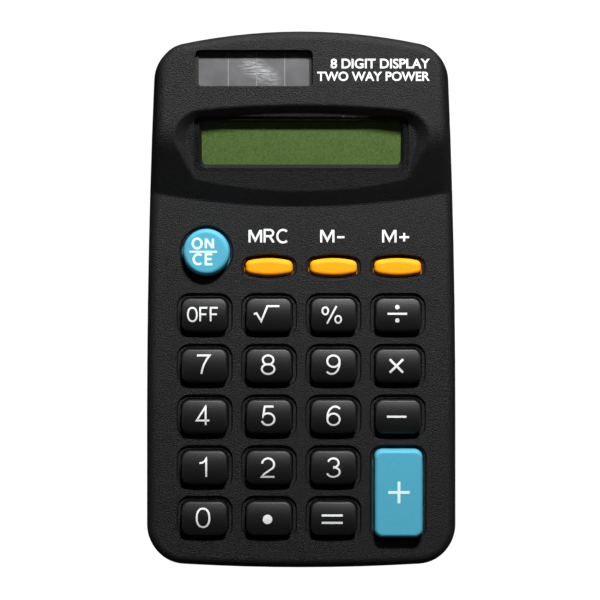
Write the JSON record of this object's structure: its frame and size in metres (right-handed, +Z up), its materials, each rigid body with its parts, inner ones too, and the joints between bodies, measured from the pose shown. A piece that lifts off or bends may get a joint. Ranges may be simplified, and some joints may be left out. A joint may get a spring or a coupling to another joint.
{
  "type": "pocket calculator",
  "caption": "Wedge-shaped pocket calculator with a raised display head, solar cell, rubber-dome keys that travel, and a slide-off battery cover on the back.",
  "frame": {"origin": "centre of the bounding box on the table, at the bottom", "axes": "+Y from the keypad end to the display end, +Z up from the flat back, +X to the right"},
  "size_m": [0.0662, 0.1148, 0.0219],
  "materials": {
    "case": "fine spark-textured black ABS",
    "key_black": "satin black ABS",
    "key_blue": "satin blue ABS",
    "key_orange": "glossy orange ABS",
    "clear_plastic": "clear polished acrylic",
    "lcd_glass": "clear glass",
    "film": "grey-green film",
    "solar": "dark amorphous silicon on glass",
    "ribbon": "amber film with carbon tracks",
    "board": "paper laminate",
    "resin": "black epoxy",
    "sleeve": "printed sleeve",
    "rubber": "translucent silicone rubber",
    "cell_can": "printed jacket on a steel can",
    "nickel": "nickel-plated spring steel",
    "steel": "zinc-plated steel",
    "wire": "red and black insulation"
  },
  "bodies": {
    "root": {"battery_cell": "cell_can", "battery_wires": "wire", "capacitor": "sleeve", "case_screws": "steel", "chip_encapsulant": "resin", "circuit_board": "board", "contact_plate": "nickel", "contact_spring": "nickel", "display_ribbon": "ribbon", "display_window": "clear_plastic", "front_housing": "case", "lcd_front_glass": "lcd_glass", "lcd_polariser": "film", "lcd_rear_glass": "lcd_glass", "lcd_reflector": "film", "rear_housing": "case", "resistors": "sleeve", "rubber_dome_mat": "rubber", "solar_cell": "solar", "solar_window": "clear_plastic", "solar_wires": "wire"},
    "battery_cover": {"battery_cover": "case"},
    "key_0": {"key_0": "key_black"},
    "key_1": {"key_1": "key_black"},
    "key_2": {"key_2": "key_black"},
    "key_3": {"key_3": "key_black"},
    "key_4": {"key_4": "key_black"},
    "key_5": {"key_5": "key_black"},
    "key_6": {"key_6": "key_black"},
    "key_7": {"key_7": "key_black"},
    "key_8": {"key_8": "key_black"},
    "key_9": {"key_9": "key_black"},
    "key_divide": {"key_divide": "key_black"},
    "key_equals": {"key_equals": "key_black"},
    "key_memory_minus": {"key_memory_minus": "key_orange"},
    "key_memory_plus": {"key_memory_plus": "key_orange"},
    "key_memory_recall": {"key_memory_recall": "key_orange"},
    "key_minus": {"key_minus": "key_black"},
    "key_multiply": {"key_multiply": "key_black"},
    "key_off": {"key_off": "key_black"},
    "key_on_clear": {"key_on_clear": "key_blue"},
    "key_percent": {"key_percent": "key_black"},
    "key_plus": {"key_plus": "key_blue"},
    "key_point": {"key_point": "key_black"},
    "key_root": {"key_root": "key_black"}
  },
  "joints": [
    {"name": "press_0", "type": "slide", "parent": "root", "child": "key_0", "axis": [0, 0.0443, -0.999], "range_m": [0, 0.0009], "stiffness_N_per_m": 1300, "deforming": ["rubber_dome_mat"]},
    {"name": "press_1", "type": "slide", "parent": "root", "child": "key_1", "axis": [0, 0.0443, -0.999], "range_m": [0, 0.0009], "stiffness_N_per_m": 1300, "deforming": ["rubber_dome_mat"]},
    {"name": "press_2", "type": "slide", "parent": "root", "child": "key_2", "axis": [0, 0.0443, -0.999], "range_m": [0, 0.0009], "stiffness_N_per_m": 1300, "deforming": ["rubber_dome_mat"]},
    {"name": "press_3", "type": "slide", "parent": "root", "child": "key_3", "axis": [0, 0.0443, -0.999], "range_m": [0, 0.0009], "stiffness_N_per_m": 1300, "deforming": ["rubber_dome_mat"]},
    {"name": "press_4", "type": "slide", "parent": "root", "child": "key_4", "axis": [0, 0.0443, -0.999], "range_m": [0, 0.0009], "stiffness_N_per_m": 1300, "deforming": ["rubber_dome_mat"]},
    {"name": "press_5", "type": "slide", "parent": "root", "child": "key_5", "axis": [0, 0.0443, -0.999], "range_m": [0, 0.0009], "stiffness_N_per_m": 1300, "deforming": ["rubber_dome_mat"]},
    {"name": "press_6", "type": "slide", "parent": "root", "child": "key_6", "axis": [0, 0.0443, -0.999], "range_m": [0, 0.0009], "stiffness_N_per_m": 1300, "deforming": ["rubber_dome_mat"]},
    {"name": "press_7", "type": "slide", "parent": "root", "child": "key_7", "axis": [0, 0.0443, -0.999], "range_m": [0, 0.0009], "stiffness_N_per_m": 1300, "deforming": ["rubber_dome_mat"]},
    {"name": "press_8", "type": "slide", "parent": "root", "child": "key_8", "axis": [0, 0.0443, -0.999], "range_m": [0, 0.0009], "stiffness_N_per_m": 1300, "deforming": ["rubber_dome_mat"]},
    {"name": "press_9", "type": "slide", "parent": "root", "child": "key_9", "axis": [0, 0.0443, -0.999], "range_m": [0, 0.0009], "stiffness_N_per_m": 1300, "deforming": ["rubber_dome_mat"]},
    {"name": "press_divide", "type": "slide", "parent": "root", "child": "key_divide", "axis": [0, 0.0443, -0.999], "range_m": [0, 0.0009], "stiffness_N_per_m": 1300, "deforming": ["rubber_dome_mat"]},
    {"name": "press_equals", "type": "slide", "parent": "root", "child": "key_equals", "axis": [0, 0.0443, -0.999], "range_m": [0, 0.0009], "stiffness_N_per_m": 1300, "deforming": ["rubber_dome_mat"]},
    {"name": "press_memory_minus", "type": "slide", "parent": "root", "child": "key_memory_minus", "axis": [0, 0.0443, -0.999], "range_m": [0, 0.0009], "stiffness_N_per_m": 1300, "deforming": ["rubber_dome_mat"]},
    {"name": "press_memory_plus", "type": "slide", "parent": "root", "child": "key_memory_plus", "axis": [0, 0.0443, -0.999], "range_m": [0, 0.0009], "stiffness_N_per_m": 1300, "deforming": ["rubber_dome_mat"]},
    {"name": "press_memory_recall", "type": "slide", "parent": "root", "child": "key_memory_recall", "axis": [0, 0.0443, -0.999], "range_m": [0, 0.0009], "stiffness_N_per_m": 1300, "deforming": ["rubber_dome_mat"]},
    {"name": "press_minus", "type": "slide", "parent": "root", "child": "key_minus", "axis": [0, 0.0443, -0.999], "range_m": [0, 0.0009], "stiffness_N_per_m": 1300, "deforming": ["rubber_dome_mat"]},
    {"name": "press_multiply", "type": "slide", "parent": "root", "child": "key_multiply", "axis": [0, 0.0443, -0.999], "range_m": [0, 0.0009], "stiffness_N_per_m": 1300, "deforming": ["rubber_dome_mat"]},
    {"name": "press_off", "type": "slide", "parent": "root", "child": "key_off", "axis": [0, 0.0443, -0.999], "range_m": [0, 0.0009], "stiffness_N_per_m": 1300, "deforming": ["rubber_dome_mat"]},
    {"name": "press_on_clear", "type": "slide", "parent": "root", "child": "key_on_clear", "axis": [0, 0.0443, -0.999], "range_m": [0, 0.0009], "stiffness_N_per_m": 1300, "deforming": ["rubber_dome_mat"]},
    {"name": "press_percent", "type": "slide", "parent": "root", "child": "key_percent", "axis": [0, 0.0443, -0.999], "range_m": [0, 0.0009], "stiffness_N_per_m": 1300, "deforming": ["rubber_dome_mat"]},
    {"name": "press_plus", "type": "slide", "parent": "root", "child": "key_plus", "axis": [0, 0.0443, -0.999], "range_m": [0, 0.0009], "stiffness_N_per_m": 1300, "deforming": ["rubber_dome_mat"]},
    {"name": "press_point", "type": "slide", "parent": "root", "child": "key_point", "axis": [0, 0.0443, -0.999], "range_m": [0, 0.0009], "stiffness_N_per_m": 1300, "deforming": ["rubber_dome_mat"]},
    {"name": "press_root", "type": "slide", "parent": "root", "child": "key_root", "axis": [0, 0.0443, -0.999], "range_m": [0, 0.0009], "stiffness_N_per_m": 1300, "deforming": ["rubber_dome_mat"]},
    {"name": "cover_slide", "type": "slide", "parent": "root", "child": "battery_cover", "axis": [0, 1, 0], "range_m": [0, 0.022]}
  ]
}
